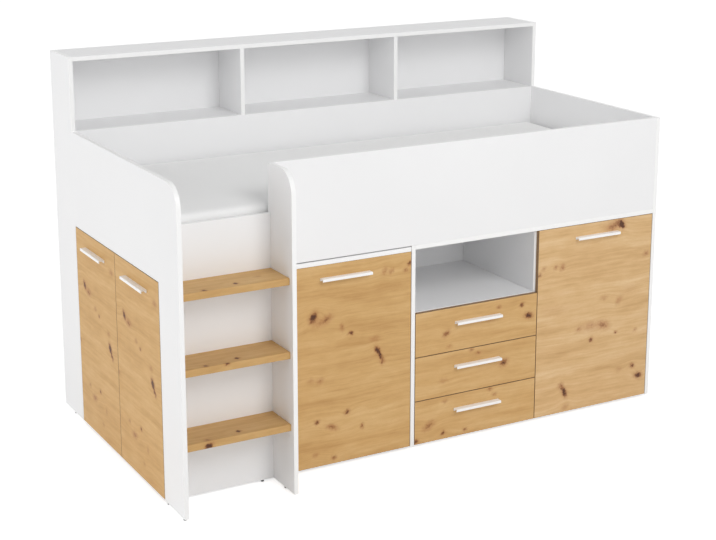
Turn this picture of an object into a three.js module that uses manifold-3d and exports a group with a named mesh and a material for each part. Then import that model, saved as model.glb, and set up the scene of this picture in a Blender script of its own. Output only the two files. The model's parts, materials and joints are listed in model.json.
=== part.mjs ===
// Mid-sleeper bed of white and oak boards: a ladder bay with a two-door cupboard behind it, a roll-out
// desk, an open niche over three drawers, a one-door cupboard, and a bookcase along the back.
// Millimetres, +Z up. Boards are placed from the bed's own corner: x from the left outer face, y from
// the front plane towards the back, z from the floor. The last group moves that corner so that the
// origin lies under the middle of the whole object.
import * as THREE from 'three';
import { mergeVertices } from 'three/addons/utils/BufferGeometryUtils.js';
import Module from 'manifold-3d';

const wasm = await Module();
wasm.setup();

// Boards
const BOARD = 16;
const THIN_BACK = 3;
const GAP = 2;
const SEAT = 0.3;

// Bed well
const MATTRESS_LENGTH = 2000;
const MATTRESS_WIDTH = 800;
const MATTRESS_HEIGHT = 150;
const MATTRESS_PLAY_LENGTH = 18;
const MATTRESS_PLAY_WIDTH = 4;
const MATTRESS_ROUNDING = 26;
const MATTRESS_CROWN = 9;
const MATTRESS_DRAW_IN = 5;
const MATTRESS_EDGE_STOP = 8;
const MATTRESS_SPANS = [18, 8, 2];

// Heights above the floor
const GLIDE_HEIGHT = 8;
const FRONT_FOOT = 11;
const GUARD_BOTTOM = 765;
const GUARD_TOP = 1123;
const ENTRY_RAIL_TOP = 953;
const BOOKCASE_TOP = 1395;
const SLAT_TOP = 840;
const NICHE_FLOOR_TOP = 512;
const LEFT_DOOR_TOP = 768;

// Depths and widths
const LADDER_DEPTH = 160;
const LADDER_WIDTH = 383;
const LADDER_CORNER = 80;
const CORNER_SEGMENTS = 12;
const CABINET_DEPTH = 498;
const BOOKCASE_DEPTH = 210;
const DESK_BAY_WIDTH = 535;
const DRAWER_BAY_WIDTH = 524;
const BOOKCASE_BAYS = 3;

// Treads
const TREAD_COUNT = 3;
const TREAD_THICKNESS = 25;
const TREAD_SETBACK = 20;

// Handles
const HANDLE_LENGTH = 196;
const HANDLE_PROUD = 22;
const HANDLE_WALL = 3;
const HANDLE_HEIGHT = 10;
const HANDLE_CORNER = 2;
const HANDLE_DROP = 50;
const LEFT_HANDLE_DROP = 58;
const DRAWER_HANDLE_DROP = 58;

// Drawers
const DRAWER_COUNT = 3;
const DRAWER_BOX_DEPTH = 450;
const DRAWER_BOX_HEIGHT = 110;
const DRAWER_BOX_WALL = 12;
const DRAWER_BOX_FLOOR = 4;
const DRAWER_BOX_LIFT = 20;
const RUNNER_ROOM = 13;
const RUNNER_LEDGE = 22;
const RUNNER_GAUGE = 1.5;

// Concealed hinges
const HINGE_CUP_RADIUS = 17.5;
const HINGE_CUP_DEPTH = 11.5;
const HINGE_CUP_INSET = 22;
const HINGE_ARM_LENGTH = 58;
const HINGE_ARM_WIDTH = 14;
const HINGE_ARM_THICKNESS = 8;
const HINGE_FLANGE = 1.2;
const HINGE_FLANGE_WIDTH = 20;
const HINGE_FLANGE_HEIGHT = 62;
const HINGE_FROM_END = 95;
const HINGE_CUP_FACETS = 24;

// Roll-out desk
const DESK_DEPTH = 760;
const DESK_HEADROOM = 4;
const STRETCHER_HEIGHT = 100;
const WHEEL_RADIUS = 25;
const WHEEL_WIDTH = 20;
const WHEEL_FROM_PANEL = 45;
const WHEEL_TRACK = 380;
const AXLE_RADIUS = 5;
const AXLE_PLAY = 0.4;
const HUB_RADIUS = 11;
const HUB_WIDTH = 6;
const WHEEL_EASE = 2.5;
const WHEEL_FACETS = 32;
const AXLE_BORE_FACETS = 24;

// Slatted base
const SLAT_COUNT = 14;
const SLAT_WIDTH = 72;
const SLAT_THICKNESS = 18;
const SLAT_RAIL_WIDTH = 25;
const SLAT_RAIL_HEIGHT = 30;
const STRAP_WIDTH = 25;
const STRAP_THICKNESS = 3;
const STRAP_FROM_EDGE = 110;

// Floor glides
const GLIDE_RADIUS = 6;
const GLIDE_SINK = 4;
const GLIDE_FACETS = 16;
const GLIDE_FROM_END = 40;
const BASE_GLIDE_FROM_FRONT = 60;

// Places that follow from the sizes above
const leftInner = BOARD;
const length = MATTRESS_LENGTH + MATTRESS_PLAY_LENGTH + 2 * BOARD;
const rightInner = length - BOARD;
const bedBack = BOARD + MATTRESS_WIDTH + MATTRESS_PLAY_WIDTH;
const objectBack = bedBack + BOOKCASE_DEPTH;
const ladderRight = leftInner + LADDER_WIDTH;
const deskBayLeft = ladderRight + BOARD;
const deskBayRight = deskBayLeft + DESK_BAY_WIDTH;
const drawerBayLeft = deskBayRight + BOARD;
const drawerBayRight = drawerBayLeft + DRAWER_BAY_WIDTH;
const cupboardLeft = drawerBayRight + BOARD;
const fixedTop = GUARD_BOTTOM - BOARD;
const recess = BOARD + 1;

// Materials
const finish = (color, roughness, metalness = 0) => (
  new THREE.MeshStandardMaterial({ color, roughness, metalness })
);
const WHITE = finish(0xf1f1f0, 0.45);
const OAK = finish(0xcf9f63, 0.5);
const HANDLE_WHITE = finish(0xf4f3f2, 0.3, 0.2);
const STEEL = finish(0xb9bcc0, 0.3, 0.9);
const RUNNER_STEEL = finish(0xe4e5e6, 0.4, 0.3);
const WHEEL_GREY = finish(0x3b3c3f, 0.6);
const PINE = finish(0xdcc193, 0.6);
const TICKING = finish(0xf2f2f0, 0.9);

const bed = new THREE.Group();

// A named mesh, set in the bed's own corner frame.
function place(name, geometry, material) {
  const mesh = new THREE.Mesh(geometry, material);
  mesh.name = name;
  bed.add(mesh);
  return mesh;
}

// A box between two values along each axis.
function block(x, y, z) {
  const geometry = new THREE.BoxGeometry(x[1] - x[0], y[1] - y[0], z[1] - z[0]);
  return geometry.translate((x[0] + x[1]) / 2, (y[0] + y[1]) / 2, (z[0] + z[1]) / 2);
}

// A flat outline carried straight along an axis: u, v are the outline's axes, w the direction of travel.
function prism(outline, travel, u, v, w) {
  const options = { depth: travel, bevelEnabled: false, curveSegments: CORNER_SEGMENTS };
  return new THREE.ExtrudeGeometry(outline, options).applyMatrix4(new THREE.Matrix4().makeBasis(u, v, w));
}

const X = new THREE.Vector3(1, 0, 0);
const Y = new THREE.Vector3(0, 1, 0);
const Z = new THREE.Vector3(0, 0, 1);

// A closed geometry as a solid, and a solid back as a geometry.
function solid(geometry) {
  const bare = geometry.index ? geometry.clone() : geometry;
  bare.deleteAttribute('normal');
  bare.deleteAttribute('uv');
  const merged = mergeVertices(bare, 1e-4);
  const vertProperties = new Float32Array(merged.attributes.position.array);
  const triVerts = new Uint32Array(merged.index.array);
  return new wasm.Manifold(new wasm.Mesh({ numProp: 3, vertProperties, triVerts }));
}

function surface(body) {
  const mesh = body.getMesh();
  const geometry = new THREE.BufferGeometry();
  geometry.setAttribute('position', new THREE.BufferAttribute(mesh.vertProperties, 3));
  geometry.setIndex(new THREE.BufferAttribute(mesh.triVerts, 1));
  return geometry;
}

function joined(geometries) {
  return surface(geometries.slice(1).reduce((whole, part) => whole.add(solid(part)), solid(geometries[0])));
}

function cut(geometry, tools) {
  return surface(tools.reduce((whole, tool) => whole.subtract(solid(tool)), solid(geometry)));
}

// A round bar standing on the floor plane, or lying along an axis.
function cylinder(radius, height, facets, axis, centre) {
  const geometry = new THREE.CylinderGeometry(radius, radius, height, facets);
  if (axis === 'z') geometry.rotateX(Math.PI / 2);
  if (axis === 'x') geometry.rotateZ(Math.PI / 2);
  return geometry.translate(...centre);
}

// Black plastic glides driven into a board's lower edge; the board stands on them.
function withGlides(geometry, spots) {
  const glide = ([x, y]) => {
    const height = GLIDE_HEIGHT + GLIDE_SINK;
    return cylinder(GLIDE_RADIUS, height, GLIDE_FACETS, 'z', [x, y, height / 2]);
  };
  return joined([geometry, ...spots.map(glide)]);
}

// End panels
// The left one is an L: a full-width head over the doors and a leg down the ladder's side.
const headBottom = LEFT_DOOR_TOP + GAP;
const legBack = FRONT_FOOT - GAP;

function ladderCorner(shape) {
  shape.lineTo(-LADDER_DEPTH + LADDER_CORNER, GUARD_TOP);
  shape.absarc(-LADDER_DEPTH + LADDER_CORNER, GUARD_TOP - LADDER_CORNER, LADDER_CORNER, Math.PI / 2, Math.PI);
  shape.lineTo(-LADDER_DEPTH, GLIDE_HEIGHT);
}

const leftOutline = new THREE.Shape();
leftOutline.moveTo(-LADDER_DEPTH, GLIDE_HEIGHT);
leftOutline.lineTo(legBack, GLIDE_HEIGHT);
leftOutline.lineTo(legBack, headBottom);
leftOutline.lineTo(bedBack, headBottom);
leftOutline.lineTo(bedBack, GUARD_TOP);
ladderCorner(leftOutline);
const leftPanel = prism(leftOutline, BOARD, Y, Z, X);
const ladderMiddle = -LADDER_DEPTH / 2;
const leftGlides = [-LADDER_DEPTH + BOARD, -BOARD / 2].map((y) => [BOARD / 2, y]);
place('left_end_panel', withGlides(leftPanel, leftGlides), WHITE);

const rightPanel = block([rightInner, length], [0, bedBack], [GLIDE_HEIGHT, GUARD_TOP]);
const rightGlides = [GLIDE_FROM_END, bedBack / 2, bedBack - GLIDE_FROM_END].map((y) => [length - BOARD / 2, y]);
place('right_end_panel', withGlides(rightPanel, rightGlides), WHITE);

// Ladder bay: a side board with the same round corner, a back board up to the way in, and the treads
const sideOutline = new THREE.Shape();
sideOutline.moveTo(-LADDER_DEPTH, GLIDE_HEIGHT);
sideOutline.lineTo(BOARD, GLIDE_HEIGHT);
sideOutline.lineTo(BOARD, GUARD_TOP);
ladderCorner(sideOutline);
const ladderSide = prism(sideOutline, BOARD, Y, Z, X).translate(ladderRight, 0, 0);
place('ladder_side_panel', withGlides(ladderSide, [[ladderRight + BOARD / 2, ladderMiddle]]), WHITE);

const ladderBack = block([leftInner, ladderRight], [0, BOARD], [GLIDE_HEIGHT, ENTRY_RAIL_TOP]);
const ladderBackGlides = [leftInner + GLIDE_FROM_END, ladderRight - GLIDE_FROM_END].map((x) => [x, BOARD / 2]);
place('ladder_back_panel', withGlides(ladderBack, ladderBackGlides), WHITE);

['tread_lower', 'tread_middle', 'tread_upper'].forEach((name, i) => {
  const top = (GUARD_BOTTOM * (i + 1)) / TREAD_COUNT;
  const front = -LADDER_DEPTH + TREAD_SETBACK;
  place(name, block([leftInner, ladderRight], [front, 0], [top - TREAD_THICKNESS, top]), OAK);
});

place('front_guard', block([deskBayLeft, rightInner], [0, BOARD], [GUARD_BOTTOM, GUARD_TOP]), WHITE);

// Bookcase along the back: two sides to the floor, a top, one long shelf, two dividers and a thin back
const backFace = objectBack - THIN_BACK;
const bookcaseMiddle = (bedBack + objectBack) / 2;

[['bookcase_left_side', 0], ['bookcase_right_side', rightInner]].forEach(([name, x]) => {
  const side = block([x, x + BOARD], [bedBack, objectBack], [GLIDE_HEIGHT, BOOKCASE_TOP]);
  place(name, withGlides(side, [[x + BOARD / 2, bookcaseMiddle]]), WHITE);
});
[['bookcase_top', BOOKCASE_TOP, bedBack], ['bookcase_shelf', GUARD_TOP, bedBack + BOARD]].forEach(
  ([name, top, front]) => {
    place(name, block([leftInner, rightInner], [front, backFace], [top - BOARD, top]), WHITE);
  },
);
const bookBay = (rightInner - leftInner - (BOOKCASE_BAYS - 1) * BOARD) / BOOKCASE_BAYS;
['bookcase_divider_left', 'bookcase_divider_right'].forEach((name, i) => {
  const x = leftInner + (i + 1) * bookBay + i * BOARD;
  place(name, block([x, x + BOARD], [bedBack, backFace], [GUARD_TOP, BOOKCASE_TOP - BOARD]), WHITE);
});
const backHeight = [GUARD_TOP - BOARD, BOOKCASE_TOP];
place('bookcase_back', block([leftInner, rightInner], [backFace, objectBack], backHeight), WHITE);
const rearGuard = block([leftInner, rightInner], [bedBack, bedBack + BOARD], [GUARD_BOTTOM, GUARD_TOP]);
place('rear_guard', rearGuard, WHITE);

// Left cupboard, behind the ladder: floor, top and rear wall, closed on the right by the desk bay's wall
const doorInner = BOARD + GAP;
const wallFront = bedBack - BOARD;
place('desk_bay_wall', withGlides(
  block([ladderRight, deskBayLeft], [BOARD, bedBack], [GLIDE_HEIGHT, GUARD_BOTTOM]),
  [bedBack / 2, bedBack - GLIDE_FROM_END].map((y) => [ladderRight + BOARD / 2, y]),
), WHITE);
[['left_cupboard_floor', GLIDE_HEIGHT], ['left_cupboard_top', fixedTop]].forEach(([name, low]) => {
  place(name, block([doorInner, ladderRight], [BOARD, wallFront], [low, low + BOARD]), WHITE);
});
place('left_cupboard_rear_wall', withGlides(
  block([doorInner, ladderRight], [wallFront, bedBack], [GLIDE_HEIGHT, GUARD_BOTTOM]),
  [[doorInner + GLIDE_FROM_END, bedBack - BOARD / 2]],
), WHITE);

// Right cabinet: one base and one top board over both bays, two uprights, the niche's floor, a thin back
const cabinetY = [recess, CABINET_DEPTH];
place('desk_bay_divider', withGlides(
  block([deskBayRight, drawerBayLeft], [0, CABINET_DEPTH], [GLIDE_HEIGHT, GUARD_BOTTOM]),
  [GLIDE_FROM_END, CABINET_DEPTH - GLIDE_FROM_END].map((y) => [deskBayRight + BOARD / 2, y]),
), WHITE);
place('cabinet_base_board', withGlides(
  block([drawerBayLeft, rightInner], cabinetY, [GLIDE_HEIGHT, GLIDE_HEIGHT + BOARD]),
  [BASE_GLIDE_FROM_FRONT, CABINET_DEPTH - GLIDE_FROM_END].map((y) => [drawerBayRight + BOARD / 2, y]),
), WHITE);
const topBoard = block([drawerBayLeft, rightInner], [0, CABINET_DEPTH], [fixedTop, GUARD_BOTTOM]);
place('cabinet_top_board', topBoard, WHITE);
const drawerDivider = block([drawerBayRight, cupboardLeft], cabinetY, [GLIDE_HEIGHT + BOARD, fixedTop]);
place('drawer_divider', drawerDivider, WHITE);
const nicheFloor = block([drawerBayLeft, drawerBayRight], cabinetY, [NICHE_FLOOR_TOP - BOARD, NICHE_FLOOR_TOP]);
place('niche_floor', nicheFloor, WHITE);
const thinBack = [CABINET_DEPTH, CABINET_DEPTH + THIN_BACK];
place('cabinet_back_panel', block([deskBayRight, rightInner], thinBack, [GLIDE_HEIGHT, GUARD_BOTTOM]), WHITE);

// Grip of channel section, open below and at its ends: a flange on the board, a roof and a lip for the
// fingers. Its long side runs along u, it stands out along v, and w is its height.
function handle(name, centre, u, v) {
  const base = -HANDLE_HEIGHT / 2;
  const top = HANDLE_HEIGHT / 2;
  const lip = HANDLE_PROUD - HANDLE_WALL;
  const outline = new THREE.Shape();
  outline.moveTo(0, base);
  outline.lineTo(HANDLE_WALL, base);
  outline.lineTo(HANDLE_WALL, top - HANDLE_WALL);
  outline.lineTo(lip, top - HANDLE_WALL);
  outline.lineTo(lip, base);
  outline.lineTo(HANDLE_PROUD, base);
  outline.lineTo(HANDLE_PROUD, top - HANDLE_CORNER);
  outline.absarc(HANDLE_PROUD - HANDLE_CORNER, top - HANDLE_CORNER, HANDLE_CORNER, 0, Math.PI / 2);
  outline.lineTo(0, top);
  const w = new THREE.Vector3().crossVectors(u, v);
  const grip = prism(outline, HANDLE_LENGTH, v, w, u).translate(...u.clone().multiplyScalar(-HANDLE_LENGTH / 2));
  place(name, grip.translate(...centre), HANDLE_WHITE);
}

const outLeft = X.clone().negate();
const outFront = Y.clone().negate();

// Concealed hinge: a cup let into the door, its flange on the door's inner face, and an arm that runs
// back along the wall. Its place is given by the door's inner face, the hinge edge and the wall's face.
function hinge(name, height, door, wall) {
  const { face, into, edge, away } = door;
  const at = (w, u, z) => face.clone().addScaledVector(into, w).addScaledVector(away, u + edge).setZ(z);
  const span = (w, u, z) => {
    const a = at(w[0], u[0], z[0]);
    const b = at(w[1], u[1], z[1]);
    const low = a.clone().min(b);
    const high = a.clone().max(b);
    return block([low.x, high.x], [low.y, high.y], [low.z, high.z]);
  };
  const lying = Math.abs(into.x) > 0 ? 'x' : 'y';
  const cupCentre = at(-HINGE_CUP_DEPTH / 2, HINGE_CUP_INSET, height).toArray();
  const cup = cylinder(HINGE_CUP_RADIUS - SEAT, HINGE_CUP_DEPTH, HINGE_CUP_FACETS, lying, cupCentre);
  const flange = span(
    [0, HINGE_FLANGE],
    [HINGE_CUP_INSET - HINGE_FLANGE_WIDTH / 2, HINGE_CUP_INSET + HINGE_FLANGE_WIDTH / 2],
    [height - HINGE_FLANGE_HEIGHT / 2, height + HINGE_FLANGE_HEIGHT / 2],
  );
  const armSpan = [wall + SEAT, wall + SEAT + HINGE_ARM_THICKNESS];
  const armHeight = [height - HINGE_ARM_WIDTH / 2, height + HINGE_ARM_WIDTH / 2];
  const arm = span([GAP + SEAT, HINGE_ARM_LENGTH], armSpan, armHeight);
  const neck = span([0, HINGE_ARM_THICKNESS], [armSpan[0], HINGE_CUP_INSET], armHeight);
  place(name, joined([cup, flange, arm, neck]), STEEL);
}

// A door with its two hinge cups sunk into the inner face, its two hinges and its handle
function door(name, box, hang, wall, handleAt, handleAlong, handleOut) {
  const [z0, z1] = box[2];
  const heights = { lower: z0 + HINGE_FROM_END, upper: z1 - HINGE_FROM_END };
  const lying = Math.abs(hang.into.x) > 0 ? 'x' : 'y';
  const cups = Object.values(heights).map((z) => {
    const centre = hang.face.clone().addScaledVector(hang.away, hang.edge + HINGE_CUP_INSET).setZ(z);
    return cylinder(HINGE_CUP_RADIUS, 2 * (HINGE_CUP_DEPTH + SEAT), HINGE_CUP_FACETS, lying, centre.toArray());
  });
  place(name, cut(block(...box), cups), OAK);
  Object.entries(heights).forEach(([end, z]) => hinge(`${name}_hinge_${end}`, z, hang, wall));
  handle(`${name}_handle`, handleAt, handleAlong, handleOut);
}

// Left doors, one pair across the bed's end: flush with the end panel, hung at their outer edges
const leftDoorFront = FRONT_FOOT;
const leftDoorBack = bedBack - GAP;
const leftDoorSplit = (leftDoorFront + leftDoorBack) / 2;
const leftDoorZ = [FRONT_FOOT, LEFT_DOOR_TOP];
const leftHandle = (y0, y1) => [0, (y0 + y1) / 2, LEFT_DOOR_TOP - LEFT_HANDLE_DROP];
door(
  'left_front_door',
  [[0, BOARD], [leftDoorFront, leftDoorSplit - GAP / 2], leftDoorZ],
  { face: new THREE.Vector3(BOARD, 0, 0), into: X, edge: leftDoorFront, away: Y },
  BOARD - leftDoorFront,
  leftHandle(leftDoorFront, leftDoorSplit), Y, outLeft,
);
door(
  'left_rear_door',
  [[0, BOARD], [leftDoorSplit + GAP / 2, leftDoorBack], leftDoorZ],
  { face: new THREE.Vector3(BOARD, 0, 0), into: X, edge: -leftDoorBack, away: outFront },
  leftDoorBack - wallFront,
  leftHandle(leftDoorSplit, leftDoorBack), Y, outLeft,
);

// Right door, hung on the right end panel and half covering the upright beside the drawers
const frontSplit = drawerBayRight + BOARD / 2;
const rightDoorX = [frontSplit + GAP / 2, rightInner - GAP];
const rightDoorTop = fixedTop - GAP / 2;
door(
  'right_door',
  [rightDoorX, [0, BOARD], [FRONT_FOOT, rightDoorTop]],
  { face: new THREE.Vector3(0, BOARD, 0), into: Y, edge: -rightDoorX[1], away: outLeft },
  rightDoorX[1] - rightInner,
  [(rightDoorX[0] + rightDoorX[1]) / 2, 0, rightDoorTop - HANDLE_DROP], outLeft, outFront,
);

// Drawers: oak front, open-topped box behind it, handle, and a folded steel rack on each side
const drawerFrontX = [drawerBayLeft + GAP, frontSplit - GAP / 2];
const drawerTop = NICHE_FLOOR_TOP - GAP;
const drawerPitch = (drawerTop + GAP - FRONT_FOOT) / DRAWER_COUNT;
const boxX = [drawerBayLeft + RUNNER_ROOM, drawerBayRight - RUNNER_ROOM];
const boxY = [BOARD, BOARD + DRAWER_BOX_DEPTH];
const boxBottoms = [];
['lower', 'middle', 'upper'].forEach((level, i) => {
  const z0 = FRONT_FOOT + i * drawerPitch;
  const z1 = z0 + drawerPitch - GAP;
  const boxZ = [z0 + DRAWER_BOX_LIFT, z0 + DRAWER_BOX_LIFT + DRAWER_BOX_HEIGHT];
  const inside = block(
    [boxX[0] + DRAWER_BOX_WALL, boxX[1] - DRAWER_BOX_WALL],
    [boxY[0] + DRAWER_BOX_WALL, boxY[1] - DRAWER_BOX_WALL],
    [boxZ[0] + DRAWER_BOX_FLOOR, boxZ[1] + GAP],
  );
  boxBottoms.push(boxZ[0]);
  place(`drawer_front_${level}`, block(drawerFrontX, [0, BOARD], [z0, z1]), OAK);
  place(`drawer_box_${level}`, cut(block(boxX, boxY, boxZ), [inside]), WHITE);
  const handleCentre = [(drawerFrontX[0] + drawerFrontX[1]) / 2, 0, z1 - DRAWER_HANDLE_DROP];
  handle(`drawer_handle_${level}`, handleCentre, outLeft, outFront);
});

// Rack: an upright strip with one ledge under each drawer box, one folded sheet
function runnerRack(name, wall, side) {
  const foot = boxBottoms[0] - SEAT - RUNNER_GAUGE;
  const head = boxBottoms[DRAWER_COUNT - 1] + DRAWER_BOX_HEIGHT;
  const outline = new THREE.Shape();
  outline.moveTo(wall, foot);
  outline.lineTo(wall, head);
  outline.lineTo(wall + side * RUNNER_GAUGE, head);
  boxBottoms.slice().reverse().forEach((bottom) => {
    const top = bottom - SEAT;
    outline.lineTo(wall + side * RUNNER_GAUGE, top);
    outline.lineTo(wall + side * RUNNER_LEDGE, top);
    outline.lineTo(wall + side * RUNNER_LEDGE, top - RUNNER_GAUGE);
    outline.lineTo(wall + side * RUNNER_GAUGE, top - RUNNER_GAUGE);
  });
  const sheet = prism(outline, DRAWER_BOX_DEPTH, X, Z, outFront);
  place(name, sheet.translate(0, recess + DRAWER_BOX_DEPTH, 0), RUNNER_STEEL);
}
runnerRack('drawer_rack_left', drawerBayLeft, 1);
runnerRack('drawer_rack_right', drawerBayRight, -1);

// Roll-out desk: oak front and white rear panel as legs, worktop over both, a low stretcher that
// carries the two wheel axles, and the handle
const deskX = [deskBayLeft + GAP, deskBayRight - GAP];
const deskTop = GUARD_BOTTOM - DESK_HEADROOM;
const deskUnder = deskTop - BOARD;
const deskMiddle = (deskX[0] + deskX[1]) / 2;
const rearPanelFront = DESK_DEPTH - BOARD;
place('desk_worktop', block(deskX, [0, DESK_DEPTH], [deskUnder, deskTop]), WHITE);
place('desk_front', block(deskX, [0, BOARD], [FRONT_FOOT, deskUnder]), OAK);
place('desk_rear_panel', block(deskX, [rearPanelFront, DESK_DEPTH], [FRONT_FOOT, deskUnder]), WHITE);
handle('desk_handle', [deskMiddle, 0, deskUnder - HANDLE_DROP], outLeft, outFront);

const axles = { front: BOARD + WHEEL_FROM_PANEL, rear: rearPanelFront - WHEEL_FROM_PANEL };
const bores = Object.values(axles).map((y) => (
  cylinder(AXLE_RADIUS + AXLE_PLAY, 2 * BOARD, AXLE_BORE_FACETS, 'x', [deskMiddle, y, WHEEL_RADIUS])
));
const stretcher = block(
  [deskMiddle - BOARD / 2, deskMiddle + BOARD / 2],
  [BOARD, rearPanelFront],
  [FRONT_FOOT, FRONT_FOOT + STRETCHER_HEIGHT],
);
place('desk_stretcher', cut(stretcher, bores), WHITE);

// Wheel set: one turned axle with a wheel near each end, each wheel with a hub and a rounded tread
function wheelSet(name, y) {
  const outer = WHEEL_TRACK / 2 + WHEEL_WIDTH / 2;
  const inner = outer - WHEEL_WIDTH;
  const half = [
    [AXLE_RADIUS, inner - HUB_WIDTH],
    [HUB_RADIUS, inner - HUB_WIDTH],
    [HUB_RADIUS, inner],
    [WHEEL_RADIUS - WHEEL_EASE, inner],
    [WHEEL_RADIUS, inner + WHEEL_EASE],
    [WHEEL_RADIUS, outer - WHEEL_EASE],
    [WHEEL_RADIUS - WHEEL_EASE, outer],
    [HUB_RADIUS, outer],
    [HUB_RADIUS, outer + HUB_WIDTH],
    [0, outer + HUB_WIDTH],
  ];
  const mirrored = half.map(([r, x]) => [r, -x]).reverse();
  const points = [...mirrored, ...half].map(([r, x]) => new THREE.Vector2(r, x));
  const turned = new THREE.LatheGeometry(points, WHEEL_FACETS).rotateZ(-Math.PI / 2);
  place(name, surface(solid(turned)).translate(deskMiddle, y, WHEEL_RADIUS), WHEEL_GREY);
}
wheelSet('desk_front_wheels', axles.front);
wheelSet('desk_rear_wheels', axles.rear);

// Slatted base: a rail on each long side, and loose slats held at one pitch by two webbing straps
const slatBottom = SLAT_TOP - SLAT_THICKNESS;
const railZ = [slatBottom - SLAT_RAIL_HEIGHT, slatBottom];
place('slat_rail_front', block([leftInner, rightInner], [BOARD, BOARD + SLAT_RAIL_WIDTH], railZ), PINE);
place('slat_rail_rear', block([leftInner, rightInner], [bedBack - SLAT_RAIL_WIDTH, bedBack], railZ), PINE);

const slatPitch = (rightInner - leftInner) / SLAT_COUNT;
const slatX = Array.from({ length: SLAT_COUNT }, (_, i) => leftInner + (i + 0.5) * slatPitch);
const slatY = [BOARD + GAP, bedBack - GAP];
const slats = slatX.map((x) => block([x - SLAT_WIDTH / 2, x + SLAT_WIDTH / 2], slatY, [slatBottom, SLAT_TOP]));
const strapZ = SLAT_TOP - SLAT_THICKNESS / 2;
const straps = [slatY[0] + STRAP_FROM_EDGE, slatY[1] - STRAP_FROM_EDGE].map((y) => block(
  [slatX[0], slatX[SLAT_COUNT - 1]],
  [y - STRAP_WIDTH / 2, y + STRAP_WIDTH / 2],
  [strapZ - STRAP_THICKNESS / 2, strapZ + STRAP_THICKNESS / 2],
));
place('slat_roll', joined([...slats, ...straps]), PINE);

// Mattress: a box with rounded edges, a crowned top and sides drawn in between the corners. The grid
// is close at the edges, where the rounding is, and even in between.
function gridStops(size, spans) {
  const half = size / 2;
  const edge = [0, MATTRESS_EDGE_STOP, MATTRESS_ROUNDING];
  const flat = size - 2 * MATTRESS_ROUNDING;
  const inner = Array.from({ length: spans - 1 }, (_, i) => MATTRESS_ROUNDING + (flat * (i + 1)) / spans);
  return [...edge, ...inner, ...edge.map((e) => size - e).reverse()].map((value) => value - half);
}

function mattressGeometry() {
  const size = [MATTRESS_LENGTH, MATTRESS_WIDTH, MATTRESS_HEIGHT - MATTRESS_CROWN];
  const stops = size.map((value, axis) => gridStops(value, MATTRESS_SPANS[axis]));
  const spans = stops.map((list) => list.length - 1);
  const grid = new THREE.BoxGeometry(1, 1, 1, ...spans);
  grid.deleteAttribute('normal');
  grid.deleteAttribute('uv');
  const geometry = mergeVertices(grid, 1e-5);
  const position = geometry.attributes.position;
  const half = size.map((value) => value / 2);
  for (let i = 0; i < position.count; i += 1) {
    const unit = [position.getX(i), position.getY(i), position.getZ(i)];
    const point = unit.map((value, axis) => stops[axis][Math.round((value + 0.5) * spans[axis])]);
    const core = point.map((value, axis) => {
      const reach = half[axis] - MATTRESS_ROUNDING;
      return Math.min(reach, Math.max(-reach, value));
    });
    const away = new THREE.Vector3(...point.map((value, axis) => value - core[axis]));
    if (away.length() > 0) away.setLength(MATTRESS_ROUNDING);
    const round = core.map((value, axis) => value + away.getComponent(axis));
    const [u, v] = [round[0] / half[0], round[1] / half[1]];
    round[0] *= 1 - (MATTRESS_DRAW_IN / half[0]) * (1 - v * v);
    round[1] *= 1 - (MATTRESS_DRAW_IN / half[1]) * (1 - u * u);
    const lift = Math.max(0, round[2] / half[2]);
    round[2] += MATTRESS_CROWN * lift * (1 - u ** 4) * (1 - v ** 4);
    position.setXYZ(i, ...round);
  }
  return geometry.translate(0, 0, half[2]);
}
const mattress = mattressGeometry();
mattress.translate(length / 2, (BOARD + bedBack) / 2, SLAT_TOP + SEAT);
place('mattress', mattress, TICKING);

// Origin under the middle of the whole object, handles on the left doors included
bed.position.set((HANDLE_PROUD - length) / 2, (LADDER_DEPTH - objectBack) / 2, 0);

const object = new THREE.Group();
object.add(bed);
export default object;
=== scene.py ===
import json
import math

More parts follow.
